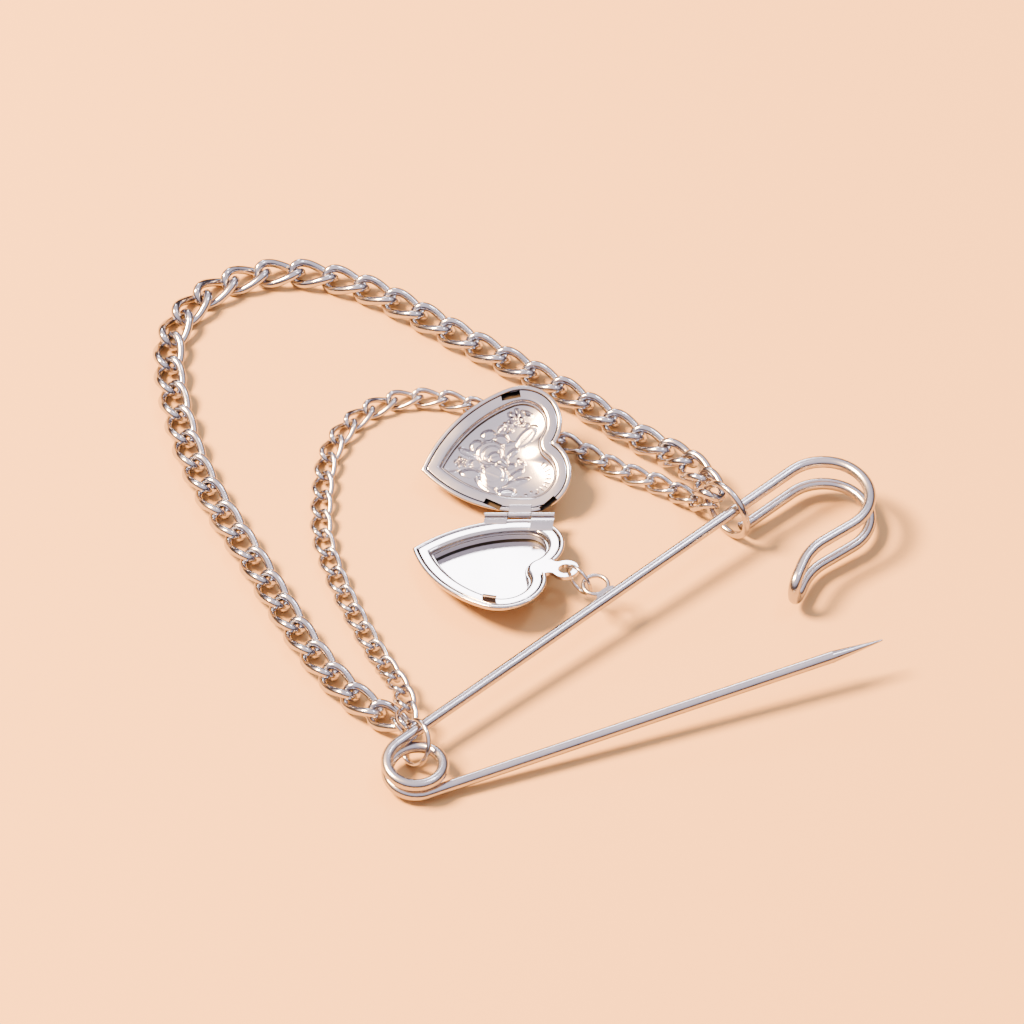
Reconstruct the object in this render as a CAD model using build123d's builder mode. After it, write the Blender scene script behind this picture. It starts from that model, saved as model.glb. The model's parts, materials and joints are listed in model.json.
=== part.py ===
from build123d import *
import os
from math import asin, atan2, copysign, cos, degrees, hypot, pi, radians, sin, sqrt

# Locket brooch, in mm: a kilt pin bent from one wire, a heavy and a light curb chain between its coil and its
# head, and an open heart locket on a ring soldered to its bar. It lies on a surface as it would by itself.
# +X runs along the bar from the coil to the head and +Z is up. It is drawn from the point of the surface under
# the coil's middle, and exported with the origin at the bottom centre of its whole box.

CLEARANCE = 0.1             # between pieces that touch on the real brooch

# Pin wire
WIRE_RADIUS = 0.8
COIL_RADIUS = 3.65          # to the wire's middle
COIL_PITCH = 1.82
NEEDLE_PITCH = 2.3          # of the needle's part of the coil, which turns under the frame's
COIL_TURNS = 1.443          # from the bar down to the needle
CUT_TURNS = 1.09            # where the needle's wire is parted from the frame's
COIL_LIFT = 0.45            # gap under the coil, which lies on its ring
PIN_TILT = 2.0              # degrees by which the head lies higher than the coil

# Head of the pin, in plan: the bar turns back round the head's end, runs along the arm and flares out again
HEAD_END = 76.1             # wire's middle at the head's far end
HEAD_RADIUS = 6.2
HEAD_WIDTH = 13.1           # from the bar to the outer end of the arm
ARM_BEND = (62.2, -8.2)     # where the arm's flare begins
ARM_RADIUS = 8.0
FLARE_END = (56.8, -11.0)
FLARE_DROP = 0.6            # the upper wire comes down by this at the flare
LEVEL_GAP = 4.35            # between the middles of the head's two wires, one above the other
TAIL_END = 60.9             # where the lower wire ends under the bar

# Needle
NEEDLE_LENGTH = 64.2        # from the coil to the point
NEEDLE_TAPER = 7.0
NEEDLE_RISE = 1.95          # degrees, more than the bar
POINT_RADIUS = 0.12

# Rings: middle radius, wire radius and place
BAR_RING_X = 37.4
BAR_RING_RADIUS = 1.65
BAR_RING_WIRE = 0.3
BAR_RING_STAND = 0.35       # from the bar to the ring's middle line
SOLDER_LENGTH = 3.0
COIL_RING_RADIUS = 2.95
COIL_RING_WIRE = 0.33
COIL_RING_CENTRE = (2.62, 2.95, 3.02)
COIL_RING_AXIS = (-0.872, 0.214, 0.441)
COIL_LINK_RADIUS = 1.69     # a small ring joins the heavy chain to the coil's ring
COIL_LINK_WIRE = 0.33
COIL_LINK_CENTRE = (3.32, 6.63, 2.06)
COIL_LINK_AXIS = (0.885, -0.187, 0.426)
HOOK_RING_RADIUS = 3.9
HOOK_RING_WIRE = 0.5
HOOK_RING_CENTRE = (60.0, 5.6, 4.5)
HOOK_RING_AXIS = (1, 0, 0)
LOCKET_RING_RADIUS = 2.2
LOCKET_RING_WIRE = 0.25
LOCKET_RING_CENTRE = (36.95, 9.15, 4.45)
LOCKET_RING_AXIS = (1, 0, 0.1)

# Curb chains: a link is a squarish oval of wire, twisted end to end so that the chain lies flat
LARGE_WIRE = 0.6            # wire radius
LARGE_PITCH = 4.62
LARGE_HALF_WIDTH = 1.65
LARGE_SIDES = 16
SMALL_WIRE = 0.4
SMALL_PITCH = 3.5
SMALL_HALF_WIDTH = 1.2
SMALL_SIDES = 12
LINK_PLAY = 0.26
LINK_TWIST = 50.0           # degrees at each end
LINK_SQUARENESS = 2.8
WIRE_SIDES = 6

# Chain routes, chosen from the photograph, from the head's ring to the coil's
LARGE_ROUTE = [
    (59.66, 7.9, 5.76), (61.94, 13.0, 4.12), (62.81, 16.99, 3.09), (62.6, 21.5, 1.8), (61.9, 25.9, 1.5),
    (60.0, 39.6, 1.45), (56.3, 56.3, 1.45), (51.6, 74.0, 1.45), (45.5, 81.35, 1.45), (36.65, 84.15, 1.45),
    (26.8, 80.75, 1.45), (21.05, 73.5, 1.45), (14.4, 61.2, 1.45), (9.0, 43.3, 1.45), (3.47, 22.92, 1.45),
    (2.84, 13.98, 1.45), (4.55, 6.96, 1.49),
]
SMALL_ROUTE = [
    (60.1, 8.42, 2.98), (59.6, 12.5, 1.45), (58.9, 16.4, 1.08), (56.5, 22.4, 1.05), (54.2, 32.2, 1.05),
    (51.6, 39.4, 1.05), (47.0, 48.8, 1.05), (41.6, 52.8, 1.05), (34.4, 53.0, 1.05), (28.4, 50.2, 1.05),
    (23.5, 45.5, 1.05), (19.1, 40.6, 1.05), (16.2, 35.3, 1.05), (13.4, 28.8, 1.05), (11.75, 23.9, 1.06),
    (10.2, 19.2, 1.15), (7.65, 11.47, 2.7), (3.31, 5.41, 3.93),
]
LARGE_ROLLS = (-14.4, 0.6)  # degrees about the chain, of its first and last link
LARGE_ROLLED = 3            # links over which the roll dies away
SMALL_ROLLS = (-2.7, -2.8)
SMALL_ROLLED = 4

# Heart locket
HEART_LENGTH = 19.8         # tip to the lobes' ends
HEART_WIDTH = 18.7
LOBE_RADIUS = 5.62
SIDE_RADIUS = 19.3
HEART_TURN = 12.6           # degrees between the heart's middle line and the hinge
HEART_SHIFT = 0.37          # along the hinge line, from where the heart's side is level with the hinge's middle
TAB_PLACE = (36.832, 11.814, 4.762)   # middle of the tab's hole, level with the hinge: the locket hangs here
HINGE_TURN = -47.0          # degrees, of the hinge line in plan
HINGE_RISE = 5.8            # degrees, towards the tab
BACK_TILT = 7.6             # degrees by which the back half's near side lies higher
OPEN_ANGLE = 153.0          # between the halves; the hinge stops there
RIM_GAP = 0.12              # between the rims when the locket is shut
SHELL_LEVELS = ((0, 1), (0.8, 0.975), (1.7, 0.86), (2.5, 0.55))   # depth and size of each section
SHELL_MIDDLE = 10.4         # from the tip: the sections shrink towards this point
RIM = 0.6                   # width of the rim round the frame
FRAME_WIDTH = 1.75
FRAME_THICKNESS = 0.6
FLOOR_DEPTH = 1.8

# Its hinge
KNUCKLE_RADIUS = 0.42
HINGE_SET = 0.55            # from the pin's middle line to the heart's side
PIN_RADIUS = 0.18
PIN_PLAY = 0.04
KNUCKLE_ENDS = (-5.3, -2.2, 1.0, 4.1)   # along the hinge line
LEAF_THICKNESS = 0.4
LEAF_REACH = 2.2            # from the hinge line into the shell
HINGE_SLOTS = ((8.6, -7.05, -36.7, 2.0), (15.9, -8.66, 31.7, 2.5))  # in the cover's frame: place, angle, length
HINGE_SLOT_WIDTH = 0.6

# Its tab and catch
TAB_REACH = 2.95            # from the notch to the hole
TAB_SIDE = 0.42             # towards the hinge
TAB_RADIUS = 1.75
TAB_HOLE = 0.95
NECK_WIDTH = 2.4
CATCH_PLACE = (13.6, 8.05)  # on the frame, from the tip and from the middle line
CATCH_LENGTH = 1.9
CATCH_WIDTH = 0.45
CATCH_HEIGHT = 0.5
SLOT_LENGTH = 2.5
SLOT_WIDTH = 0.9


def ring_of_wire(centre, axis, radius, wire):
    """A plain jump ring."""
    face = Plane(origin=centre, z_dir=axis)
    across = Plane(origin=face.from_local_coords((radius, 0, 0)), z_dir=face.y_dir)
    with BuildPart() as ring:
        with BuildSketch(across):
            Circle(wire)
        revolve(axis=Axis(centre, axis))
    return ring


def coil_level(turn):
    """Level of the coil's wire, counted down from the bar."""
    return -COIL_PITCH * min(turn, CUT_TURNS) - NEEDLE_PITCH * max(0, turn - CUT_TURNS)


# Pin: its own plane is tilted with it, and has the bar's wire at level 0
coil_drop = -coil_level(COIL_TURNS)
pin_plane = Plane(Location((0, 0, COIL_LIFT + WIRE_RADIUS + coil_drop), (0, -PIN_TILT, 0)))


def coil_run(first_turn, last_turn):
    """The wire of the coil between two turns, counted down from the bar."""
    drop = coil_level(first_turn) - coil_level(last_turn)
    with BuildPart() as run:
        with BuildLine() as path:
            Helix(drop / (last_turn - first_turn), drop, COIL_RADIUS, lefthand=True)
        with BuildSketch(Plane(origin=path.line @ 0, z_dir=path.line % 0)):
            Circle(WIRE_RADIUS)
        sweep(is_frenet=True)
    bottom = Location((0, 0, coil_level(last_turn)), (0, 0, 90 + 360 * last_turn))
    return pin_plane.location * bottom * run.part


level = -LEVEL_GAP
arm_outer = COIL_RADIUS - HEAD_WIDTH
flare_radius = (LEVEL_GAP - FLARE_DROP) / 2 - 0.01
head_route = [
    (0, COIL_RADIUS, 0), (HEAD_END, COIL_RADIUS, 0), (HEAD_END, arm_outer, 0), (*ARM_BEND, 0),
    (*FLARE_END, -FLARE_DROP), (*FLARE_END, level),
    (*ARM_BEND, level), (HEAD_END, arm_outer, level), (HEAD_END, COIL_RADIUS, level), (TAIL_END, COIL_RADIUS, level),
]
head_radii = [HEAD_RADIUS, HEAD_RADIUS, ARM_RADIUS, flare_radius, flare_radius, ARM_RADIUS, HEAD_RADIUS, HEAD_RADIUS]
bar_ring_y = COIL_RADIUS + WIRE_RADIUS + BAR_RING_STAND + BAR_RING_RADIUS

with BuildPart() as pin_frame:
    with BuildLine(pin_plane) as head_path:
        FilletPolyline(*head_route, radius=head_radii)
    with BuildSketch(Plane(origin=head_path.line @ 0, z_dir=head_path.line % 0)):
        Circle(WIRE_RADIUS)
    sweep()
    with Locations(pin_plane.from_local_coords((0, COIL_RADIUS, 0))):
        Sphere(WIRE_RADIUS)
    add(coil_run(0, CUT_TURNS))
    add(ring_of_wire(
        pin_plane.from_local_coords((BAR_RING_X, bar_ring_y, 0)), pin_plane.z_dir, BAR_RING_RADIUS, BAR_RING_WIRE
    ).part)
    with BuildSketch(pin_plane):
        with Locations((BAR_RING_X, COIL_RADIUS + WIRE_RADIUS)):
            Ellipse(SOLDER_LENGTH / 2, BAR_RING_STAND + BAR_RING_WIRE)
    extrude(amount=BAR_RING_WIRE, both=True)
pin_frame.part.label = "pin_frame"

cut_turn = CLEARANCE / (2 * pi * COIL_RADIUS)
leave = radians(90 + 360 * COIL_TURNS)
needle_start = pin_plane.from_local_coords((COIL_RADIUS * cos(leave), COIL_RADIUS * sin(leave), -coil_drop))
needle_way = pin_plane.from_local_coords((-sin(leave), cos(leave), sin(radians(NEEDLE_RISE)))) - pin_plane.origin
needle_plane = Plane(origin=needle_start, z_dir=needle_way)
shank = NEEDLE_LENGTH - NEEDLE_TAPER

with BuildPart() as pin_needle:
    add(coil_run(CUT_TURNS + cut_turn, COIL_TURNS))
    with Locations(needle_start):
        Sphere(WIRE_RADIUS)
    with BuildSketch(needle_plane):
        Circle(WIRE_RADIUS)
    extrude(amount=shank)
    with BuildSketch(needle_plane.offset(shank)):
        Circle(WIRE_RADIUS)
    with BuildSketch(needle_plane.offset(NEEDLE_LENGTH)):
        Circle(POINT_RADIUS)
    loft()
pin_needle.part.label = "pin_needle"


# Rings
coil_ring = ring_of_wire(COIL_RING_CENTRE, COIL_RING_AXIS, COIL_RING_RADIUS, COIL_RING_WIRE)
coil_ring.part.label = "coil_ring"
coil_link = ring_of_wire(COIL_LINK_CENTRE, COIL_LINK_AXIS, COIL_LINK_RADIUS, COIL_LINK_WIRE)
coil_link.part.label = "coil_link"
hook_ring = ring_of_wire(HOOK_RING_CENTRE, HOOK_RING_AXIS, HOOK_RING_RADIUS, HOOK_RING_WIRE)
hook_ring.part.label = "hook_ring"
locket_ring = ring_of_wire(LOCKET_RING_CENTRE, LOCKET_RING_AXIS, LOCKET_RING_RADIUS, LOCKET_RING_WIRE)
locket_ring.part.label = "locket_ring"


# Curb chains
def curb_link(pitch, half_width, wire, sides):
    """One link round the origin with the chain along X: a loop of wire with flat facets."""
    half_length = (pitch + 2 * wire + LINK_PLAY) / 2
    middles, outwards = [], []
    for i in range(sides):
        angle = 2 * pi * (i + 0.5) / sides
        x = half_length * copysign(abs(cos(angle)) ** (2 / LINK_SQUARENESS), cos(angle))
        y = half_width * copysign(abs(sin(angle)) ** (2 / LINK_SQUARENESS), sin(angle))
        twist = -radians(LINK_TWIST) * x / half_length
        middles.append(Vector(x, y * cos(twist), y * sin(twist)))
        outwards.append(Vector(cos(angle), sin(angle) * cos(twist), sin(angle) * sin(twist)))
    rings = []
    for i in range(sides):
        along = (middles[(i + 1) % sides] - middles[i - 1]).normalized()
        side = (outwards[i] - along * outwards[i].dot(along)).normalized()
        up = along.cross(side)
        turns = [2 * pi * k / WIRE_SIDES for k in range(WIRE_SIDES)]
        rings.append([middles[i] + (side * cos(a) + up * sin(a)) * wire for a in turns])
    faces = []
    for here, after in zip(rings, rings[1:] + rings[:1]):
        for k in range(WIRE_SIDES):
            m = (k + 1) % WIRE_SIDES
            faces.append(Face(Wire.make_polygon((here[k], after[k], after[m]))))
            faces.append(Face(Wire.make_polygon((here[k], after[m], here[m]))))
    return Solid(Shell(faces))


def link_places(route, pitch, rolls, rolled):
    """A plane for each link, spread evenly along the route, with X along the chain, rolled at both ends."""
    path = Edge.make_spline([Vector(*point) for point in route])
    count = round(path.length / pitch)
    joints = [path @ (i / count) for i in range(count + 1)]
    places = []
    for i, (start, end) in enumerate(zip(joints, joints[1:])):
        roll = rolls[0] * max(0, 1 - i / rolled) + rolls[1] * max(0, 1 - (count - 1 - i) / rolled)
        along = (end - start).normalized()
        side = Vector(0, 0, 1).cross(along).normalized().rotate(Axis((0, 0, 0), along), roll)
        places.append(Plane(origin=(start + end) / 2, x_dir=along, z_dir=along.cross(side)))
    return places


large_link = curb_link(LARGE_PITCH, LARGE_HALF_WIDTH, LARGE_WIRE, LARGE_SIDES)
large_links = []
for number, place in enumerate(link_places(LARGE_ROUTE, LARGE_PITCH, LARGE_ROLLS, LARGE_ROLLED), 1):
    with BuildPart() as link:
        add(place.location * large_link, clean=False)
    link.part.label = f"large_link_{number:02d}"
    large_links.append(link.part)

small_link = curb_link(SMALL_PITCH, SMALL_HALF_WIDTH, SMALL_WIRE, SMALL_SIDES)
small_places = link_places(SMALL_ROUTE, SMALL_PITCH, SMALL_ROLLS, SMALL_ROLLED)
with BuildPart() as small_chain:
    add([place.location * small_link for place in small_places], clean=False)
small_chain.part.label = "small_chain"


# Locket: both halves are drawn lying open and flat on the hinge plane, whose X is the hinge line
lobe_y = HEART_WIDTH / 2 - LOBE_RADIUS
lobe_x = HEART_LENGTH - LOBE_RADIUS
to_lobe = hypot(lobe_x, lobe_y)
reach = (SIDE_RADIUS ** 2 - (SIDE_RADIUS - LOBE_RADIUS) ** 2 + to_lobe ** 2) / (2 * to_lobe)
across = sqrt(SIDE_RADIUS ** 2 - reach ** 2)
side_x = (lobe_x * reach + lobe_y * across) / to_lobe
side_y = (lobe_y * reach - lobe_x * across) / to_lobe
join = degrees(atan2(lobe_y - side_y, lobe_x - side_x))
tip_angle = degrees(atan2(-side_y, -side_x))
notch_angle = -degrees(asin(lobe_y / LOBE_RADIUS))
notch_x = lobe_x + sqrt(LOBE_RADIUS ** 2 - lobe_y ** 2)

with BuildSketch() as heart:
    with BuildLine():
        CenterArc((side_x, side_y), SIDE_RADIUS, tip_angle, join - tip_angle)
        CenterArc((lobe_x, lobe_y), LOBE_RADIUS, notch_angle, join - notch_angle)
        mirror(about=Plane.XZ)
    make_face()
with BuildSketch() as seat:
    add(heart.sketch)
    offset(amount=-RIM, mode=Mode.REPLACE)
with BuildSketch() as frame_edge:
    add(heart.sketch)
    offset(amount=-RIM - CLEARANCE, mode=Mode.REPLACE)
with BuildSketch() as opening:
    add(heart.sketch)
    offset(amount=-RIM - FRAME_WIDTH, mode=Mode.REPLACE)

turn = radians(HEART_TURN)
tip_x = HEART_SHIFT - (lobe_x * cos(turn) + lobe_y * sin(turn))
tip_y = -(lobe_y * cos(turn) - lobe_x * sin(turn) + LOBE_RADIUS + HINGE_SET)
rim_level = -RIM_GAP / 2
tab_x = notch_x + TAB_REACH
tab_along = tip_x + tab_x * cos(turn) + TAB_SIDE * sin(turn)
tab_across = tip_y - tab_x * sin(turn) + TAB_SIDE * cos(turn)
tab_lie = Location(TAB_PLACE, (-BACK_TILT, -HINGE_RISE, HINGE_TURN), Extrinsic.XYZ)
hinge_plane = Plane(tab_lie * Location((-tab_along, -tab_across, 0)))
back_plane = Plane(hinge_plane.location * Location((tip_x, tip_y, rim_level), (0, 0, -HEART_TURN)))
lift = Location((0, 0, 0), (180 - OPEN_ANGLE, 0, 0))
cover_plane = Plane(hinge_plane.location * lift * Location((tip_x, -tip_y, rim_level), (0, 0, HEART_TURN)))
swung_plane = Plane(hinge_plane.location * lift)
catch_x, catch_y = CATCH_PLACE
leaf_ends = ((KNUCKLE_ENDS[0], KNUCKLE_ENDS[1]), (KNUCKLE_ENDS[2], KNUCKLE_ENDS[3]))
cover_leaf = (KNUCKLE_ENDS[1] + CLEARANCE, KNUCKLE_ENDS[2] - CLEARANCE)


def shell(place, ends, knuckles_from, side):
    """Half of the locket: a deep heart with a seat for its frame, its hinge leaf and knuckles."""
    with BuildPart() as half:
        for depth, size in SHELL_LEVELS:
            with BuildSketch(place.offset(-depth)):
                with Locations((SHELL_MIDDLE * (1 - size), 0)):
                    add(scale(heart.sketch, by=size, mode=Mode.PRIVATE))
        loft()
        for start, end in ends:
            with Locations(knuckles_from.location * Location(((start + end) / 2, side * LEAF_REACH / 2, rim_level))):
                Box(end - start, LEAF_REACH, LEAF_THICKNESS, align=(Align.CENTER, Align.CENTER, Align.MAX))
        with BuildSketch(place):
            add(seat.sketch)
        extrude(amount=-FRAME_THICKNESS - 2 * CLEARANCE, mode=Mode.SUBTRACT)
        with BuildSketch(place):
            add(opening.sketch)
        extrude(amount=-FLOOR_DEPTH, mode=Mode.SUBTRACT)
        for start, end in ends:
            with Locations(knuckles_from.location * Location(((start + end) / 2, 0, 0), (0, 90, 0))):
                Cylinder(KNUCKLE_RADIUS, end - start)
                Cylinder(PIN_RADIUS + PIN_PLAY, end - start, mode=Mode.SUBTRACT)
    return half.part


with BuildPart() as locket_back:
    add(shell(back_plane, leaf_ends, hinge_plane, -1))
    with BuildSketch(back_plane):
        with Locations((notch_x, TAB_SIDE)):
            Rectangle(2 * TAB_REACH, NECK_WIDTH + 2 * CLEARANCE)
    extrude(amount=-FRAME_THICKNESS - 2 * CLEARANCE, mode=Mode.SUBTRACT)
locket_back.part.label = "locket_back"

with BuildPart() as locket_cover:
    add(shell(cover_plane, (cover_leaf,), swung_plane, 1))
locket_cover.part.label = "locket_cover"

with BuildPart() as locket_back_frame:
    with BuildSketch(back_plane.offset(-CLEARANCE)):
        add(frame_edge.sketch)
        with Locations((notch_x, TAB_SIDE)):
            Rectangle(2 * TAB_REACH - TAB_HOLE, NECK_WIDTH)
        with Locations((tab_x, TAB_SIDE)):
            Circle(TAB_RADIUS)
            Circle(TAB_HOLE, mode=Mode.SUBTRACT)
        add(opening.sketch, mode=Mode.SUBTRACT)
    extrude(amount=-FRAME_THICKNESS)
    with BuildSketch(back_plane.offset(-CLEARANCE)):
        with Locations((catch_x, -catch_y)):
            Rectangle(CATCH_LENGTH, CATCH_WIDTH)
    extrude(amount=CATCH_HEIGHT)
locket_back_frame.part.label = "locket_back_frame"

with BuildPart() as locket_cover_frame:
    with BuildSketch(cover_plane.offset(-CLEARANCE)):
        add(frame_edge.sketch)
        add(opening.sketch, mode=Mode.SUBTRACT)
        with Locations((catch_x, catch_y)):
            Rectangle(SLOT_LENGTH, SLOT_WIDTH, mode=Mode.SUBTRACT)
        for x, y, angle, length in HINGE_SLOTS:
            with Locations((x, y)):
                Rectangle(length, HINGE_SLOT_WIDTH, rotation=angle, mode=Mode.SUBTRACT)
    extrude(amount=-FRAME_THICKNESS)
locket_cover_frame.part.label = "locket_cover_frame"

with BuildPart() as locket_hinge_pin:
    with Locations(hinge_plane.location * Location(((KNUCKLE_ENDS[0] + KNUCKLE_ENDS[3]) / 2, 0, 0), (0, 90, 0))):
        Cylinder(PIN_RADIUS, KNUCKLE_ENDS[3] - KNUCKLE_ENDS[0])
locket_hinge_pin.part.label = "locket_hinge_pin"

pieces = [
    pin_frame.part, pin_needle.part, coil_ring.part, coil_link.part, hook_ring.part, locket_ring.part,
    small_chain.part, *large_links,
    locket_back.part, locket_back_frame.part, locket_cover.part, locket_cover_frame.part, locket_hinge_pin.part,
]
whole = Compound(pieces).bounding_box()
to_origin = Location((-whole.center().X, -whole.center().Y, -whole.min.Z))
os.makedirs("parts", exist_ok=True)
for piece in pieces:
    export_step(piece.moved(to_origin), f"parts/{piece.label}.step")
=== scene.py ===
import json
import math

import bmesh
import bpy
import numpy as np
from mathutils import Euler, Matrix, Vector


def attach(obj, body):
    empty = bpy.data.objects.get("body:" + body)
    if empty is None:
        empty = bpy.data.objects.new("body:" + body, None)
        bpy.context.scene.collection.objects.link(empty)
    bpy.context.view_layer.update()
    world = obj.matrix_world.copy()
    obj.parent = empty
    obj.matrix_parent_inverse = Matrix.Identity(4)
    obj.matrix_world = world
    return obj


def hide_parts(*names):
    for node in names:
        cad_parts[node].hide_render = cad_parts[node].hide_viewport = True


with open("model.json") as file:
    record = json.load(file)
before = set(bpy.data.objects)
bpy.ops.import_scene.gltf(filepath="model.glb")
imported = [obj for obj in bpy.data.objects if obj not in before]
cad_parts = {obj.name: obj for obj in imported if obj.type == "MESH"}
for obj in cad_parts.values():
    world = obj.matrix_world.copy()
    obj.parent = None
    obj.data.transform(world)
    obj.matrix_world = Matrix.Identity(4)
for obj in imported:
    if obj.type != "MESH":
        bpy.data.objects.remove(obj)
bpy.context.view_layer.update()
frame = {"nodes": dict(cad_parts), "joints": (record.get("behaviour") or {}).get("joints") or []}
MM = 0.001
MICRON = 1e-6
scene = bpy.context.scene


# Camera, floor and light, placed in the row frame from the photograph
CAMERA_PLACE = Vector((-0.600002, -0.681710, 0.975108))
CAMERA_AIM = Vector((0.004913, -0.002764, 0))
LENS = 351.56
SENSOR = 36
CLIP_START = 0.01
CLIP_END = 20
FLOOR_COLOUR = (0.44, 0.27, 0.12, 1)
FLOOR_HALF = 3

# Disk lights: the way towards each, its distance and width in m, watts and colour. The strip draws the white
# line along the pin, and the card is what the locket's back mirrors.
LIGHTS = {
    "key": ((-0.3937, 0.4644, 0.7933), 1.2, 0.4, 190, (1, 0.56, 0.22)),
    "strip": ((0.42, -0.12, 0.9), 1.3, 0.22, 5, (1, 0.97, 1)),
    "card": ((0.489, 0.713, 0.501), 1.2, 0.26, 3.4, (1, 0.95, 0.93)),
}

# The surroundings' colour, from 0 at the horizon to 1 overhead
SKY = (
    (0.05, (0.04, 0.035, 0.035)), (0.4, (0.07, 0.055, 0.06)),
    (0.5, (0.6, 0.52, 0.57)), (0.8, (1, 0.87, 0.93)),
)
SKY_STRENGTH = 1.85


def aim(obj, place, target):
    obj.location = place
    obj.rotation_euler = (target - place).to_track_quat("-Z", "Y").to_euler()


def area_light(name, way, distance, width, watts, colour):
    data = bpy.data.lights.new(name, "AREA")
    data.shape = "DISK"
    data.size = width
    data.energy = watts
    data.color = colour
    obj = bpy.data.objects.new(name, data)
    scene.collection.objects.link(obj)
    aim(obj, CAMERA_AIM + Vector(way) * distance, CAMERA_AIM)


def fill_ramp(ramp, steps):
    """Set a colour ramp's steps, each a place from 0 to 1 and a colour."""
    elements = ramp.color_ramp.elements
    elements.remove(elements[1])
    elements[0].position = steps[0][0]
    elements[0].color = (*steps[0][1], 1)
    for place, colour in steps[1:]:
        elements.new(place).color = (*colour, 1)


camera_data = bpy.data.cameras.new("camera")
camera_data.lens = LENS
camera_data.sensor_width = SENSOR
camera_data.clip_start = CLIP_START
camera_data.clip_end = CLIP_END
camera = bpy.data.objects.new("camera", camera_data)
scene.collection.objects.link(camera)
aim(camera, CAMERA_PLACE, CAMERA_AIM)
scene.camera = camera

for light, settings in LIGHTS.items():
    area_light(light, *settings)

world = bpy.data.worlds.new("world")
scene.world = world
world.use_nodes = True
tree = world.node_tree
tree.nodes.clear()
out = tree.nodes.new("ShaderNodeOutputWorld")
back = tree.nodes.new("ShaderNodeBackground")
ramp = tree.nodes.new("ShaderNodeValToRGB")
split = tree.nodes.new("ShaderNodeSeparateXYZ")
where = tree.nodes.new("ShaderNodeTexCoord")
tree.links.new(where.outputs["Generated"], split.inputs[0])
tree.links.new(split.outputs["Z"], ramp.inputs["Fac"])
tree.links.new(ramp.outputs["Color"], back.inputs["Color"])
tree.links.new(back.outputs[0], out.inputs["Surface"])
fill_ramp(ramp, SKY)
back.inputs["Strength"].default_value = SKY_STRENGTH


# Materials
HAZE_SCALE = 160            # of the cloudy wear on the metal
HAZE_DETAIL = 6
HAZE_RANGE = (0.3, 0.75)    # of the noise, over which the roughness grows
WEAR = 0.12                 # by which it grows
TINT_RANGE = (0.3, 0.7)     # of the noise, over which the colour clears
DULLED = 0.93               # share of the colour before that
GRAIN_SCALE = 900           # of the fine drawn lines
GRAIN_DETAIL = 8
GRAIN_DEPTH = 0.02 * MM
PAPER_SCALE = 700
PAPER_DETAIL = 8
PAPER_DEPTH = 0.2 * MM
PAPER_BUMP = 0.08
PAPER_ROUGHNESS = 0.9


def new_material(name):
    material = bpy.data.materials.new(name)
    material.use_nodes = True
    nodes = material.node_tree.nodes
    return material, nodes, material.node_tree.links, nodes["Principled BSDF"]


def noise(nodes, links, scale, detail):
    where = nodes.new("ShaderNodeTexCoord")
    texture = nodes.new("ShaderNodeTexNoise")
    texture.inputs["Scale"].default_value = scale
    texture.inputs["Detail"].default_value = detail
    links.new(where.outputs["Object"], texture.inputs["Vector"])
    return texture.outputs["Fac"]


def add_bump(nodes, links, bsdf, height, strength, depth):
    bump = nodes.new("ShaderNodeBump")
    bump.inputs["Strength"].default_value = strength
    bump.inputs["Distance"].default_value = depth
    links.new(height, bump.inputs["Height"])
    links.new(bump.outputs["Normal"], bsdf.inputs["Normal"])


def metal(name, colour, roughness, scratch=0.25):
    """Polished plated metal: fine drawn lines, cloudy haze and a little wear in its roughness."""
    material, nodes, links, bsdf = new_material(name)
    bsdf.inputs["Metallic"].default_value = 1.0
    haze = noise(nodes, links, HAZE_SCALE, HAZE_DETAIL)
    shine = nodes.new("ShaderNodeMapRange")
    shine.inputs["From Min"].default_value = HAZE_RANGE[0]
    shine.inputs["From Max"].default_value = HAZE_RANGE[1]
    shine.inputs["To Min"].default_value = roughness
    shine.inputs["To Max"].default_value = roughness + WEAR
    links.new(haze, shine.inputs["Value"])
    links.new(shine.outputs["Result"], bsdf.inputs["Roughness"])
    tint = nodes.new("ShaderNodeValToRGB")
    fill_ramp(tint, ((TINT_RANGE[0], [c * DULLED for c in colour]), (TINT_RANGE[1], colour)))
    links.new(haze, tint.inputs["Fac"])
    links.new(tint.outputs["Color"], bsdf.inputs["Base Color"])
    grain = noise(nodes, links, GRAIN_SCALE, GRAIN_DETAIL)
    add_bump(nodes, links, bsdf, grain, scratch, GRAIN_DEPTH)
    return material


SILVER = (0.47, 0.465, 0.51)
BRIGHT = (0.53, 0.52, 0.56)
wire_metal = metal("wire_metal", SILVER, 0.17, scratch=0.35)
ring_metal = metal("ring_metal", SILVER, 0.13)
chain_metal = metal("chain_metal", SILVER, 0.11)
shell_metal = metal("shell_metal", BRIGHT, 0.09)
frame_metal = metal("frame_metal", BRIGHT, 0.08)
painted_shade_metal = metal("painted_shade_metal", (0.02, 0.017, 0.016), 0.4)         # painted shade: nearly black, for the shade in the slots, under the frame plate and at the foot of the back's wall
# painted shade: the catch is coloured nearly black for the shade in and under its bent hook
catch_painted_shade_metal = metal("catch_painted_shade_metal", (0.09, 0.07, 0.065), 0.2)

floor_material, nodes, links, bsdf = new_material("floor_paper")
bsdf.inputs["Base Color"].default_value = FLOOR_COLOUR
bsdf.inputs["Roughness"].default_value = PAPER_ROUGHNESS
add_bump(nodes, links, bsdf, noise(nodes, links, PAPER_SCALE, PAPER_DETAIL), PAPER_BUMP, PAPER_DEPTH)


# Meshes. A part is its vertices and its faces.
def mesh_piece(name, part, material, body):
    vertices, faces = part
    mesh = bpy.data.meshes.new(name)
    mesh.from_pydata([tuple(v) for v in vertices], [], [tuple(f) for f in faces])
    mesh.update()
    mesh.materials.append(material)
    mesh.polygons.foreach_set("use_smooth", [True] * len(mesh.polygons))
    obj = bpy.data.objects.new(name, mesh)
    scene.collection.objects.link(obj)
    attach(obj, body)
    return obj


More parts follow.
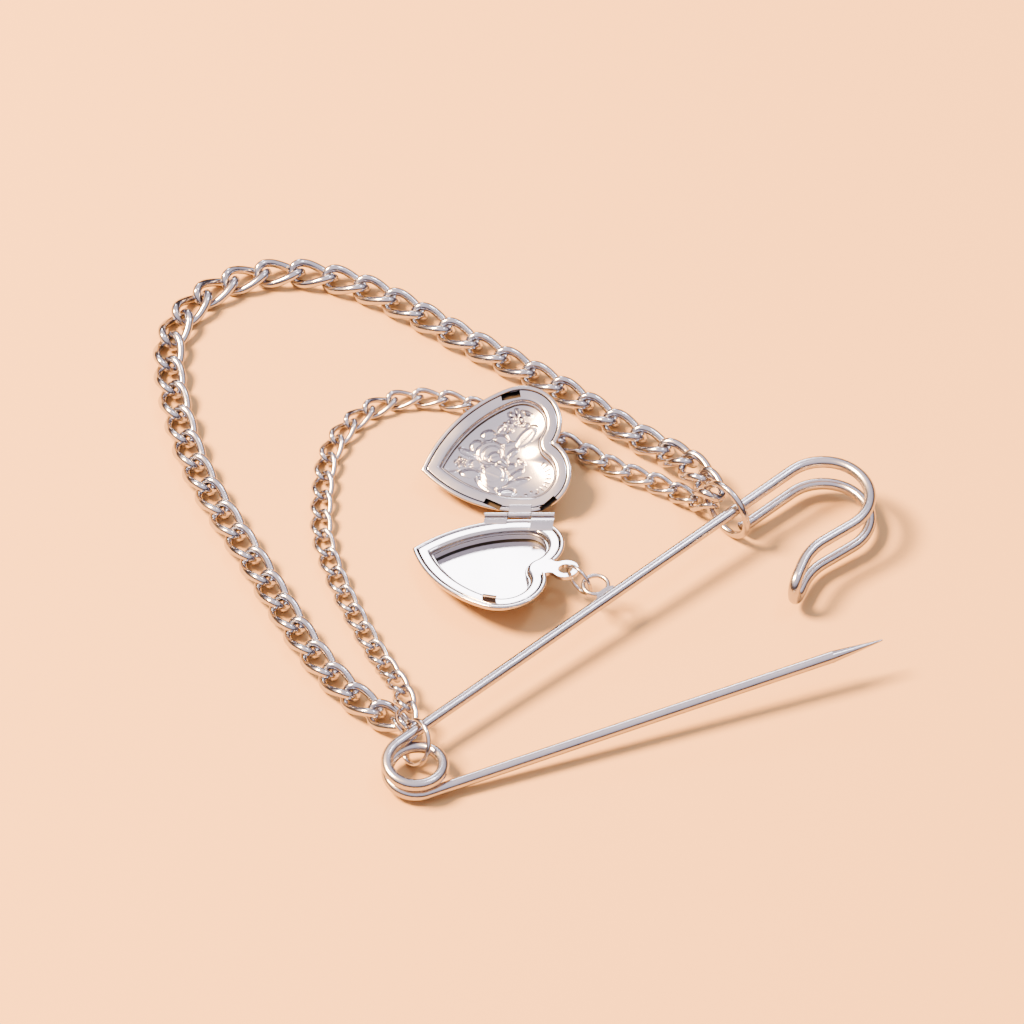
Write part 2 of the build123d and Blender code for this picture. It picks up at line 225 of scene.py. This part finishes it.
def rings_to_mesh(rings, closed_path=False, capped=False):
    """Faces between rings of the same count; a capped one is closed by a point at both ends."""
    count = len(rings[0])
    vertices = np.vstack(rings)
    faces = []
    last = len(rings) if closed_path else len(rings) - 1
    for i in range(last):
        a, b = i * count, (i + 1) % len(rings) * count
        for k in range(count):
            m = (k + 1) % count
            faces.append((a + k, b + k, b + m, a + m))
    if capped:
        first, end = len(vertices), len(vertices) + 1
        vertices = np.vstack([vertices, rings[0].mean(0), rings[-1].mean(0)])
        for k in range(count):
            m = (k + 1) % count
            faces.append((first, k, m))
            faces.append((end, (len(rings) - 1) * count + m, (len(rings) - 1) * count + k))
    return vertices, faces


def joined(*parts):
    vertices, faces, start = [], [], 0
    for v, f in parts:
        vertices.append(np.asarray(v))
        faces += [tuple(i + start for i in face) for face in f]
        start += len(v)
    return np.vstack(vertices), faces


def moved(part, matrix):
    m = np.array(matrix)
    return part[0] @ m[:3, :3].T + m[:3, 3], part[1]


floor = bpy.data.objects.new("floor", bpy.data.meshes.new("floor"))
floor_corners = [(x * FLOOR_HALF, y * FLOOR_HALF, 0) for x, y in ((-1, -1), (1, -1), (1, 1), (-1, 1))]
floor.data.from_pydata(floor_corners, [], [(0, 1, 2, 3)])
floor.data.materials.append(floor_material)
scene.collection.objects.link(floor)


# Chains: each faceted CAD link is measured, and a smooth one goes in its place
LINK_TWIST = math.radians(50)       # at each end
LINK_SQUARENESS = 2.8
LINK_SMOOTHINGS = 2
# Half length, half width and wire radius in mm, then steps along the wire and sides round it
HEAVY_LINK = (3.04, 1.65, 0.575, 72, 14)
LIGHT_LINK = (2.28, 1.2, 0.385, 56, 12)


def vertices_of(node):
    mesh = frame["nodes"][node].data
    co = np.zeros(len(mesh.vertices) * 3, np.float32)
    mesh.vertices.foreach_get("co", co)
    return co.reshape(-1, 3).astype(float)


def islands(node):
    """The vertices of each loose solid of a node."""
    rounded = np.round(vertices_of(node) / MICRON).astype(int)
    corners, which = np.unique(rounded, axis=0, return_inverse=True)
    which = which.ravel()
    owner = np.arange(len(corners))

    def top(i):
        while owner[i] != i:
            owner[i] = owner[owner[i]]
            i = owner[i]
        return i

    for edge in frame["nodes"][node].data.edges:
        a, b = top(which[edge.vertices[0]]), top(which[edge.vertices[1]])
        owner[a] = b
    groups = {}
    for i in range(len(corners)):
        groups.setdefault(top(i), []).append(corners[i] * MICRON)
    return [np.array(g) for g in groups.values()]


def link_frame(corners):
    """Centre and axes of a link: along the chain, across, and through."""
    corners = np.unique(np.round(corners / MICRON), axis=0) * MICRON
    centre = corners.mean(0)
    _, _, axes = np.linalg.svd(corners - centre, full_matrices=False)
    axes[2] = np.cross(axes[0], axes[1])
    return centre, axes


def smooth_link(half_length, half_width, wire, steps, sides):
    """A curb link round the origin: a squared loop, twisted along its length, of round wire."""
    t = 2 * np.pi * np.arange(steps) / steps
    x = half_length * np.sign(np.cos(t)) * np.abs(np.cos(t)) ** (2 / LINK_SQUARENESS)
    y = half_width * np.sign(np.sin(t)) * np.abs(np.sin(t)) ** (2 / LINK_SQUARENESS)
    turn = -LINK_TWIST * x / half_length
    middle = np.c_[x, y * np.cos(turn), y * np.sin(turn)]
    closed = np.vstack([middle, middle[:1]])
    length = np.r_[0, np.cumsum(np.linalg.norm(np.diff(closed, axis=0), axis=1))]
    even = np.linspace(0, length[-1], steps + 1)[:-1]
    middle = np.c_[[np.interp(even, length, closed[:, k]) for k in range(3)]].T
    for _ in range(LINK_SMOOTHINGS):
        middle = (np.roll(middle, 1, 0) + 2 * middle + np.roll(middle, -1, 0)) / 4
    along = np.roll(middle, -1, 0) - np.roll(middle, 1, 0)
    along /= np.linalg.norm(along, axis=1)[:, None]
    side = middle - along * (middle * along).sum(1)[:, None]
    side /= np.linalg.norm(side, axis=1)[:, None]
    up = np.cross(along, side)
    a = (2 * np.pi * np.arange(sides) / sides)[None, :, None]
    rings = middle[:, None] + wire * (np.cos(a) * side[:, None] + np.sin(a) * up[:, None])
    return rings_to_mesh(list(rings), closed_path=True)


def chain(name, groups, link_sizes, nodes):
    """One piece for a chain's nodes, with a smooth link where each of theirs lies."""
    *sizes, steps, sides = link_sizes
    link, link_faces = smooth_link(*[size * MM for size in sizes], steps, sides)
    links_in_place = []
    for corners in groups:
        centre, axes = link_frame(corners)
        links_in_place.append((centre + link @ axes, link_faces))
    piece = mesh_piece(name, joined(*links_in_place), chain_metal, "brooch")
    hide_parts(*nodes)


large_nodes = sorted(n for n in frame["nodes"] if n.startswith("large_link"))
chain("heavy_chain", [vertices_of(n) for n in large_nodes], HEAVY_LINK, large_nodes)
chain("light_chain", islands("small_chain"), LIGHT_LINK, ["small_chain"])


# Locket: each half is drawn in mm in its own plane, with the heart's tip at the origin, its lobes towards +X
HEART_LENGTH = 19.8
HEART_WIDTH = 18.7
LOBE = 5.62                         # radius of the lobes
SIDE = 19.3                         # and of the sides
SIDE_STEPS = 80
LOBE_STEPS = 100
NOTCH_STEPS = 14
HEART_TURN = math.radians(12.6)     # between the heart's middle line and the hinge
HINGE_LIE = [math.radians(a) for a in (-7.6, -5.8, -47.0)]      # the back's tilt, the hinge's rise and turn
HINGE_SET = 0.55                    # from the heart's lobe to the hinge
HEART_SHIFT = 0.37                  # of the lobe along the hinge
LIFT = math.radians(27)             # of the cover over the back's plane, as it lies open

MIDDLE = np.array([10.4, 0])        # the sections of a half shrink towards this point
DEPTH = 2.5
DOME_POWERS = (3.2, 2.2)            # a larger first one flattens the middle, a larger second the whole
DOME_STEPS = 56
DOME_CROWDING = 1.6                 # of the steps towards the edge
DOME_START = 0.02
DOME_SIZE = 0.998                   # of its widest section, just inside the heart's edge
SEAT = -0.8                         # level on which the frame plate lies
WALL = 2.5                          # of the inside, from the heart's edge
FLOOR = -1.75
CORNER = 0.02                       # between the loops that keep a corner crisp

BOWL_RISE = 0.62                    # of the cover's floor at its wall
BOWL_FLAT = 0.4                     # share of the floor that doesn't rise
OUTSIDE_RELIEF = 0.75               # height of the flowers on the cover's outside, as a share of the inside's
HOLLOW = 0.2                        # by which the dome is less deep there, for the flowers to stand on
HOLLOW_SIZE = 0.85                  # share of the dome where it is
HOLLOW_POWER = 8

# Where the wall ends and the floor starts, over the floor's level, and the floor's steps. Between the two the
# back has a band of painted shade, nearly black, at the foot of its wall.
BACK_FOOT = (0.3, CORNER, 12)
COVER_FOOT = (0.63, BOWL_RISE, 120)

# Half sections: distance inside the heart's edge, and level
RIM = ((0.0, -0.24), (0.015, -0.15), (0.06, -0.06), (0.14, -0.015), (0.25, 0), (0.4, 0), (0.5, -0.02),
       (0.57, -0.08), (0.6, -0.18))
SEAT_SECTION = ((0.6, SEAT + CORNER), (0.6 + CORNER, SEAT), (WALL - CORNER, SEAT))
FRAME = ((0.7, -0.62), (0.7, -0.2), (0.72, -0.13), (0.77, -0.1), (0.83, -0.095), (1.68, -0.1), (1.76, -0.105),
         (1.9, -0.13), (2.04, -0.2), (2.14, -0.31), (2.2, -0.46), (2.24, -0.7), (2.26, -1.2), (2.3, -1.26),
         (2.38, -1.22), (2.4, -0.76), (2.36, -0.7), (0.76, -0.68))

RIM_LEVEL = -0.06                   # over the hinge line
KNUCKLE_ENDS = (-5.3, -2.2, 1.0, 4.1)
KNUCKLE_RADIUS = 0.42
KNUCKLE_BORE = 0.22
PLAY = 0.1
CURL_STEPS = 28
BORE_STEPS = 20
LEAF_TOP = RIM_LEVEL + 0.04
LEAF_BOTTOM = -0.32
LEAF_BEVEL = 0.1                    # length of the bevels at its free end
LEAF_BEVEL_HEIGHTS = (0.1, 0.08)    # of the lower and the upper one
SHORT_LEAF = 1.5
LONG_LEAF = 2.9
LEAF_EDGE = 0.03

TAB_X = 21.33
TAB_Y = 0.42
TAB_RADIUS = 1.75
TAB_HOLE = 0.95
TAB_THICKNESS = 0.6
TAB_LEVEL = -0.385
TAB_EDGE = 0.04
TAB_ROOT = ((17.6, 1.6), (18.3, 1.7))
ROOT_RADIUS = 1.75                  # round the notch, on the frame plate
ROOT_TURN = math.radians(138)
NECK = 1.15                         # half width
NECK_CURVE = 0.9
TAB_STEPS = (6, 14, 30, 40)         # round the notch, the neck's curve, the ring and the hole
TAB_CUT_START = 16                  # beyond this the back's rim is cut down to the seat where the tab passes
TAB_CUT_PLAY = 0.25

CATCH = (13.6, -8.05)
CATCH_LENGTH = 1.9
CATCH_EDGE = 0.02
CATCH_OUTER = ((-0.22, -0.3), (-0.22, 0.3), (-0.12, 0.52), (0.06, 0.62), (0.3, 0.66), (0.36, 0.6))
CATCH_INNER = ((0.3, 0.54), (0.1, 0.49), (0.0, 0.42), (-0.08, 0.28), (-0.08, -0.3))

# In the cover: x, y, turn in degrees, length and width. The catch snaps into the first. The others, one near
# each end of the hinge, also cut the rim.
SLOTS = ((13.6, 8.08, 0, 2.6, 1.0), (8.6, -7.05, -36.7, 2.5, 0.85), (15.9, -8.66, 31.7, 2.6, 0.85))
SLOT_LEVEL = -0.3
FRAME_SLOT_DEPTH = 0.6              # above and below that level
RIM_SLOT_DEPTH = 0.45

SHARP = math.radians(40)            # between faces, from which an edge is shaded sharp
MERGE = 1e-7                        # in m, within which vertices are joined

lobe_y = HEART_WIDTH / 2 - LOBE
lobe_x = HEART_LENGTH - LOBE
to_lobe = math.hypot(lobe_x, lobe_y)
reach = (SIDE ** 2 - (SIDE - LOBE) ** 2 + to_lobe ** 2) / (2 * to_lobe)
across = math.sqrt(SIDE ** 2 - reach ** 2)
side_x = (lobe_x * reach + lobe_y * across) / to_lobe
side_y = (lobe_y * reach - lobe_x * across) / to_lobe
join = math.atan2(lobe_y - side_y, lobe_x - side_x)
notch_angle = -math.asin(lobe_y / LOBE)
notch_x = lobe_x + math.sqrt(LOBE ** 2 - lobe_y ** 2)

hinge_joint = [j for j in frame["joints"] if j["name"] == "locket_hinge"][0]
hinge_plane = Matrix.Translation(Vector(hinge_joint["pos_m"]) / MM) @ Euler(HINGE_LIE).to_matrix().to_4x4()
tip_x = HEART_SHIFT - (lobe_x * math.cos(HEART_TURN) + lobe_y * math.sin(HEART_TURN))
tip_y = -(lobe_y * math.cos(HEART_TURN) - lobe_x * math.sin(HEART_TURN) + LOBE + HINGE_SET)
swung_plane = hinge_plane @ Matrix.Rotation(LIFT, 4, "X")
back_tip = Matrix.Translation((tip_x, tip_y, RIM_LEVEL)) @ Matrix.Rotation(-HEART_TURN, 4, "Z")
cover_tip = Matrix.Translation((tip_x, -tip_y, RIM_LEVEL)) @ Matrix.Rotation(HEART_TURN, 4, "Z")
back_plane = hinge_plane @ back_tip
cover_plane = swung_plane @ cover_tip


def arc(x, y, radius, start, end, steps, closed=False):
    a = np.linspace(start, end, steps, endpoint=closed)
    return np.c_[x + radius * np.cos(a), y + radius * np.sin(a)]


def at(points, z):
    return np.c_[points, np.broadcast_to(z, len(points))]


def heart_loop(inset=0.0):
    """At a distance inside the heart's edge, from the tip over the +Y lobe to the notch and back."""
    start = math.pi - math.asin(-side_y / (SIDE - inset))
    half = np.vstack([
        arc(side_x, side_y, SIDE - inset, start, join, SIDE_STEPS),
        arc(lobe_x, lobe_y, LOBE - inset, join, notch_angle, LOBE_STEPS),
        arc(notch_x, 0, inset, notch_angle + math.pi, math.pi, NOTCH_STEPS, closed=True),
    ])
    half[0, 1] = half[-1, 1] = 0
    return np.vstack([half, half[-2:0:-1] * (1, -1)])


def plate(outlines, thickness, edge):
    """A flat plate with holes and bevelled edges, half above and half below its plane."""
    curve = bpy.data.curves.new("outline", "CURVE")
    curve.dimensions = "2D"
    curve.fill_mode = "BOTH"
    curve.bevel_depth = edge
    curve.bevel_resolution = 0
    curve.offset = -edge
    curve.extrude = thickness / 2 - edge
    for points in outlines:
        spline = curve.splines.new("POLY")
        spline.points.add(len(points) - 1)
        spline.points.foreach_set("co", np.c_[points, np.zeros(len(points)), np.ones(len(points))].ravel())
        spline.use_cyclic_u = True
    holder = bpy.data.objects.new("outline", curve)
    mesh = bpy.data.meshes.new_from_object(holder)
    vertices = np.zeros(len(mesh.vertices) * 3, np.float32)
    mesh.vertices.foreach_get("co", vertices)
    faces = [tuple(p.vertices) for p in mesh.polygons]
    bpy.data.objects.remove(holder)
    bpy.data.curves.remove(curve)
    bpy.data.meshes.remove(mesh)
    return vertices.reshape(-1, 3).astype(float), faces


def on_edge(x, y=0.0):
    """Stands a plate on its edge at a place: its own x and y become y and z."""
    return Matrix(((0, 0, 1, x), (1, 0, 0, y), (0, 1, 0, 0), (0, 0, 0, 1)))


# The cover's flowers, pressed out of it from inside: x, y, half length, half width, turn in degrees, height.
# Later petals lie on earlier ones.
PETALS = (
    (14.6, 2.4, 2.1, 1.0, 35, 0.16), (11.9, 2.0, 1.3, 0.45, -5, 0.12), (6.5, 1.7, 1.5, 0.5, -40, 0.14),
    (6.3, -1.2, 1.5, 0.75, -12, 0.15), (8.1, -3.5, 2.1, 0.7, -52, 0.16), (8.3, -5.1, 1.2, 0.6, -28, 0.12),
    (10.6, -5.2, 1.4, 0.75, -6, 0.15), (12.0, -3.9, 2.2, 0.6, 6, 0.14), (12.3, -2.7, 1.3, 0.55, 26, 0.12),
    (11.7, -1.4, 0.9, 0.55, 15, 0.14), (4.0, -0.6, 1.0, 0.25, 4, 0.1), (12.4, 0.5, 1.0, 0.6, 32, 0.13),
    (13.3, -1.1, 0.9, 0.4, -60, 0.12), (7.8, 2.4, 1.05, 0.95, 30, 0.17), (9.6, 3.7, 1.1, 0.8, 5, 0.17),
    (11.1, 2.8, 1.15, 0.8, -15, 0.16), (7.3, 0.1, 1.0, 0.85, 0, 0.15), (9.4, 1.2, 2.0, 1.85, 0, 0.19),
    (9.6, 1.0, 1.5, 1.4, 0, 0.15), (9.4, -2.2, 2.1, 1.75, -35, 0.2), (9.2, -1.9, 1.6, 1.35, -35, 0.1),
    (10.5, -0.1, 1.3, 0.75, -42, 0.2), (9.9, 0.5, 1.0, 0.9, 0, 0.22), (11.4, 4.2, 0.7, 0.45, 60, 0.14),
    (12.2, 4.5, 0.7, 0.45, 110, 0.16), (12.4, 3.7, 0.7, 0.4, 10, 0.15), (15.2, 5.6, 1.0, 0.4, -35, 0.12),
    (14.6, 4.1, 0.9, 0.4, -10, 0.12),
)
PETAL_GAIN = 1.25
PETAL_CUP = 0.3                     # share by which a petal's middle is lower than its edge
PETAL_EDGE = 0.08                   # over which its edge drops
VEIN = (0.25, 0.09, 0.8)            # depth, width and reach, as shares of the petal's height, width and size
LIP = (0.11, 0.14, 0.8)             # height, width, and distance inside the edge in such widths

ROSETTES = ((13.7, 5.3, 1.3, 6), (5.3, 0.6, 0.85, 5))   # x, y, radius and petals
ROSETTE_PETAL = (0.62, 0.45, 0.33)  # place, half length and half width, as shares of the radius
ROSETTE_TURN = 0.3
ROSETTE_HEIGHT = 0.17
ROSETTE_HEART = (0.3, 0.24, -0.4)   # share of the radius, height and cup

DOTS = ((13.1, -6.1), (13.9, -5.8), (14.5, -6.3), (12.4, -6.4), (15.1, 1.5), (14.2, 1.1))
DOT = (0.2, 0.14, -0.5)             # radius, height and cup

RAYS = 9                            # short lines along the far lobe
RAY_TURNS = (-75, 115)              # the first one's, and from it to the last, in degrees
RAY_PLACE = 2.4                     # from the lobe's middle
RAY = (0.5, 0.08, 0.1)              # half length, half width and height


def relief(x, y):
    """Height of the flowers at each point."""
    height = np.zeros_like(x)

    def lay(cx, cy, length, width, turn, top, cup=PETAL_CUP):
        nonlocal height
        c, s = math.cos(math.radians(turn)), math.sin(math.radians(turn))
        along, side = (x - cx) * c + (y - cy) * s, (y - cy) * c - (x - cx) * s
        far = np.hypot(along / length, side / width)
        inside = np.clip((1 - far) * width / PETAL_EDGE, 0, 1)
        inside = inside * inside * (3 - 2 * inside)
        vein = VEIN[0] * np.exp(-(side / (VEIN[1] * width)) ** 2) * (far < VEIN[2])
        lip = LIP[0] * np.exp(-((far - 1) * width / LIP[1] + LIP[2]) ** 2)
        form = PETAL_GAIN * top * (1 - cup + cup * far ** 2 - vein) + lip
        height = height * (1 - inside) + form * inside

    for petal in PETALS:
        lay(*petal)
    for cx, cy, radius, petals in ROSETTES:
        place, length, width = [share * radius for share in ROSETTE_PETAL]
        for i in range(petals):
            a = 2 * math.pi * i / petals + ROSETTE_TURN
            px, py = cx + place * math.cos(a), cy + place * math.sin(a)
            lay(px, py, length, width, math.degrees(a), ROSETTE_HEIGHT)
        share, top, cup = ROSETTE_HEART
        lay(cx, cy, share * radius, share * radius, 0, top, cup)
    for cx, cy in DOTS:
        radius, top, cup = DOT
        lay(cx, cy, radius, radius, 0, top, cup)
    for i in range(RAYS):
        a = math.radians(RAY_TURNS[0] + RAY_TURNS[1] * i / (RAYS - 1))
        length, width, top = RAY
        px, py = lobe_x + RAY_PLACE * math.cos(a), -lobe_y + RAY_PLACE * math.sin(a)
        lay(px, py, length, width, math.degrees(a), top, 0)
    return height


def dome(size):
    return -DEPTH * (1 - size ** DOME_POWERS[0]) ** (1 / DOME_POWERS[1])


def half_shell(flowered):
    """The shell of the cover, which has the flowers, or of the back, and which of its faces get painted
    shade.
    """
    edge, wall = heart_loop(), heart_loop(WALL)
    rings = []
    for t in np.linspace(DOME_START, 1, DOME_STEPS):
        size = DOME_SIZE * (1 - (1 - t) ** DOME_CROWDING)
        points = MIDDLE + (edge - MIDDLE) * size
        level = dome(size)
        if flowered:
            hollow = HOLLOW * math.exp(-(size / HOLLOW_SIZE) ** HOLLOW_POWER)
            level = level - (OUTSIDE_RELIEF * relief(*points.T) - hollow)
        rings.append(at(points, level))
    rings += [at(heart_loop(inset), z) for inset, z in RIM]
    rim_end = len(rings) - 1
    rings += [at(heart_loop(inset), z) for inset, z in SEAT_SECTION]
    wall_end, floor_start, floor_steps = COVER_FOOT if flowered else BACK_FOOT
    rings += [at(wall, z) for z in (SEAT - CORNER, FLOOR + wall_end, FLOOR + floor_start)]
    joint = len(rings) - 2
    for size in 1 - np.linspace(0, 1, floor_steps)[1:-1]:
        points = MIDDLE + (wall - MIDDLE) * size
        level = FLOOR
        if flowered:
            rise = BOWL_RISE * max(0, (size - BOWL_FLAT) / (1 - BOWL_FLAT)) ** 2
            level = FLOOR + rise - relief(*points.T)
        rings.append(at(points, level))
    painted_shade_bands = [rim_end, rim_end + 1, rim_end + 2]        # painted shade: the seat under the frame plate, seen through the slots
    # the back's joint at the foot of its wall gets painted shade too
    if not flowered:
        painted_shade_bands.append(joint)
        for ring in rings:
            near = (ring[:, 0] > TAB_CUT_START) & (np.abs(ring[:, 1] - TAB_Y) < NECK + TAB_CUT_PLAY)
            ring[near & (ring[:, 2] > SEAT), 2] = SEAT
    count = len(edge)
    painted_shade_faces = [band * count + k for band in painted_shade_bands for k in range(count)]
    return rings_to_mesh(rings, capped=True), painted_shade_faces


def leaf(start, end, side, length):
    """A hinge leaf with its knuckle, in the hinge's plane: the strip ends in a curl round the pin."""
    curl_start = math.pi - math.asin(LEAF_TOP / KNUCKLE_RADIUS)
    curl_end = -math.pi - math.asin(LEAF_BOTTOM / KNUCKLE_RADIUS)
    curl = arc(0, 0, KNUCKLE_RADIUS, curl_start, curl_end, CURL_STEPS, closed=True)
    low, high = LEAF_BEVEL_HEIGHTS
    tip = -length - LEAF_BEVEL
    strip = [(-length, LEAF_BOTTOM), (tip, LEAF_BOTTOM + low), (tip, LEAF_TOP - high), (-length, LEAF_TOP)]
    outline = np.vstack([curl, strip]) * (-side, 1)
    hole = arc(0, 0, KNUCKLE_BORE, 0, 2 * math.pi, BORE_STEPS) * (-side, 1)
    part = plate([outline, hole], end - start, LEAF_EDGE)
    return moved(part, on_edge((start + end) / 2))


def tab():
    """The flat tab in front of the notch: a waisted neck and a ring."""
    root_steps, curve_steps, eye_steps, hole_steps = TAB_STEPS
    rise = NECK + NECK_CURVE
    waist = TAB_X - math.sqrt((TAB_RADIUS + NECK_CURVE) ** 2 - rise ** 2)
    turn = math.atan2(rise, TAB_X - waist)
    root = np.vstack([arc(notch_x, 0, ROOT_RADIUS, math.pi, ROOT_TURN, root_steps, closed=True), TAB_ROOT])
    curve = arc(waist, rise, NECK_CURVE, -ROOT_TURN, -turn, curve_steps, closed=True)
    eye = arc(TAB_X, 0, TAB_RADIUS, math.pi - turn, 0, eye_steps, closed=True)[1:]
    half = np.vstack([curve, eye])
    ring = np.vstack([half, half[-2::-1] * (1, -1)]) + (0, TAB_Y)
    outline = np.vstack([root, ring, root[:0:-1] * (1, -1)])
    hole = arc(TAB_X, TAB_Y, TAB_HOLE, 0, 2 * math.pi, hole_steps)
    return moved(plate([outline, hole], TAB_THICKNESS, TAB_EDGE), Matrix.Translation((0, 0, TAB_LEVEL)))


def catch():
    """A strip bent over into a small hook, which snaps into the cover's slot."""
    part = plate([np.array(CATCH_OUTER + CATCH_INNER)], CATCH_LENGTH, CATCH_EDGE)
    return moved(part, on_edge(*CATCH))


def locket_piece(name, part, place, body, metals, node, painted_shade_faces=()):
    """A piece of the locket in its place, for a CAD node. The listed faces have the second metal, which
    paints shade on them.
    """
    vertices, faces = moved(part, place)
    piece = mesh_piece(name, (vertices * MM, faces), metals[0], body)
    for material in metals[1:]:
        piece.data.materials.append(material)
    for i in painted_shade_faces:
        piece.data.polygons[i].material_index = 1
    bm = bmesh.new()
    bm.from_mesh(piece.data)
    bmesh.ops.remove_doubles(bm, verts=bm.verts, dist=MERGE)
    bmesh.ops.recalc_face_normals(bm, faces=bm.faces)
    bm.to_mesh(piece.data)
    bm.free()
    piece.data.set_sharp_from_angle(angle=SHARP)
    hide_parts(node)
    return piece


def cut_slots(piece, place, slots, depth):
    """Cut slots into a piece; their walls take the cutter's nearly black metal, painted shade."""
    for x, y, turn, length, width in slots:
        box = np.array(((1, 1), (-1, 1), (-1, -1), (1, -1))) * (length / 2, width / 2)
        lie = place @ Matrix.Translation((x, y, SLOT_LEVEL)) @ Matrix.Rotation(math.radians(turn), 4, "Z")
        vertices, faces = rings_to_mesh([at(box, -depth), at(box, depth)])
        vertices, faces = moved((vertices, faces + [(3, 2, 1, 0), (4, 5, 6, 7)]), lie)
        mesh = bpy.data.meshes.new("cutter")
        mesh.from_pydata([tuple(v) for v in vertices * MM], [], faces)
        mesh.materials.append(painted_shade_metal)
        cutter = bpy.data.objects.new("cutter", mesh)
        scene.collection.objects.link(cutter)
        cut = piece.modifiers.new("slot", "BOOLEAN")
        cut.object = cutter
        cut.solver = "EXACT"
        cut.material_mode = "TRANSFER"
        shape = bpy.data.meshes.new_from_object(piece.evaluated_get(bpy.context.evaluated_depsgraph_get()))
        piece.modifiers.clear()
        piece.data = shape
        bpy.data.objects.remove(cutter)
    piece.data.set_sharp_from_angle(angle=SHARP)


left, middle_start, middle_end, right = KNUCKLE_ENDS
frame_part = rings_to_mesh([at(heart_loop(inset), z) for inset, z in FRAME], closed_path=True)

back_part, back_painted_shade = half_shell(flowered=False)
to_back = back_plane.inverted() @ hinge_plane
left_leaf = moved(leaf(left, middle_start, -1, SHORT_LEAF), to_back)
right_leaf = moved(leaf(middle_end, right, -1, LONG_LEAF), to_back)
locket_piece("back_shell", joined(back_part, left_leaf, right_leaf), back_plane, "brooch",
             (shell_metal, painted_shade_metal), "locket_back", back_painted_shade)
catch_part = catch()
back_frame_part = joined(frame_part, tab(), catch_part)
# the catch's faces take the dark metal, painted shade
catch_faces = range(len(back_frame_part[1]) - len(catch_part[1]), len(back_frame_part[1]))
locket_piece("back_frame", back_frame_part, back_plane, "brooch", (frame_metal, catch_painted_shade_metal),
             "locket_back_frame", catch_faces)

cover_part, cover_painted_shade = half_shell(flowered=True)
to_cover = cover_plane.inverted() @ swung_plane
middle_leaf = moved(leaf(middle_start + PLAY, middle_end - PLAY, 1, SHORT_LEAF), to_cover)
cover_shell = locket_piece("cover_shell", joined(cover_part, middle_leaf), cover_plane, "locket_cover",
                           (shell_metal, painted_shade_metal), "locket_cover", cover_painted_shade)
cover_frame = locket_piece("cover_frame", frame_part, cover_plane, "locket_cover",
                           (frame_metal,), "locket_cover_frame")
cut_slots(cover_frame, cover_plane, SLOTS, FRAME_SLOT_DEPTH)
cut_slots(cover_shell, cover_plane, SLOTS[1:], RIM_SLOT_DEPTH)


# CAD nodes that stay
KEPT = {
    "pin_frame": wire_metal, "pin_needle": wire_metal, "coil_ring": ring_metal, "coil_link": ring_metal,
    "hook_ring": ring_metal, "locket_ring": ring_metal, "locket_hinge_pin": frame_metal,
}
for node, material in KEPT.items():
    obj = frame["nodes"][node]
    obj.data.materials.clear()
    obj.data.materials.append(material)
